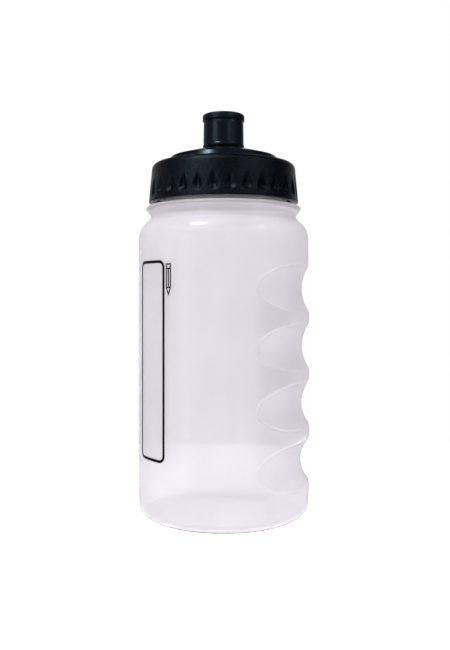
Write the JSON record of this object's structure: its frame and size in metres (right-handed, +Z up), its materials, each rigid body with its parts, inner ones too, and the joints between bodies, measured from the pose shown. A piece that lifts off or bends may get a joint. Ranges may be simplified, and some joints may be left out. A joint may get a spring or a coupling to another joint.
{
  "type": "sports squeeze bottle",
  "caption": "Frosted squeeze bottle with finger grooves on one side, a textured screw cap with grip recesses, and a push-pull drinking nozzle.",
  "frame": {"origin": "centre of the base, on the plane the bottle stands on", "axes": "+Z up along the bottle's own axis, towards the nozzle; +X towards the finger grooves; -Y towards the front"},
  "size_m": [0.0732, 0.0728, 0.1708],
  "materials": {
    "bottle_plastic": "frosted, see-through, natural low-density polyethylene",
    "washer_rubber": "satin",
    "cap_plastic": "fine spark-eroded texture on the collar, glossy dome and spout tower",
    "nozzle_plastic": "smooth and glossy"
  },
  "bodies": {
    "bottle": {"bottle_body": "bottle_plastic"},
    "washer": {"sealing_washer": "washer_rubber"},
    "cap": {"screw_cap": "cap_plastic"},
    "nozzle": {"push_pull_nozzle": "nozzle_plastic"}
  },
  "joints": [
    {"name": "cap_lift", "type": "slide", "parent": "bottle", "child": "washer", "axis": [0, 0, 1], "range_m": [0, 0.021]},
    {"name": "cap_turn", "type": "hinge", "parent": "washer", "child": "cap", "pos_m": [0, 0, 0.14], "axis": [0, 0, 1], "range_deg": [0, 1260]},
    {"name": "nozzle_slide", "type": "slide", "parent": "cap", "child": "nozzle", "axis": [0, 0, 1], "range_m": [0, 0.0055]}
  ],
  "couplings": [
    {"joint": "cap_lift", "follows": "cap_turn", "m_per_rad": 0.00095493}
  ]
}
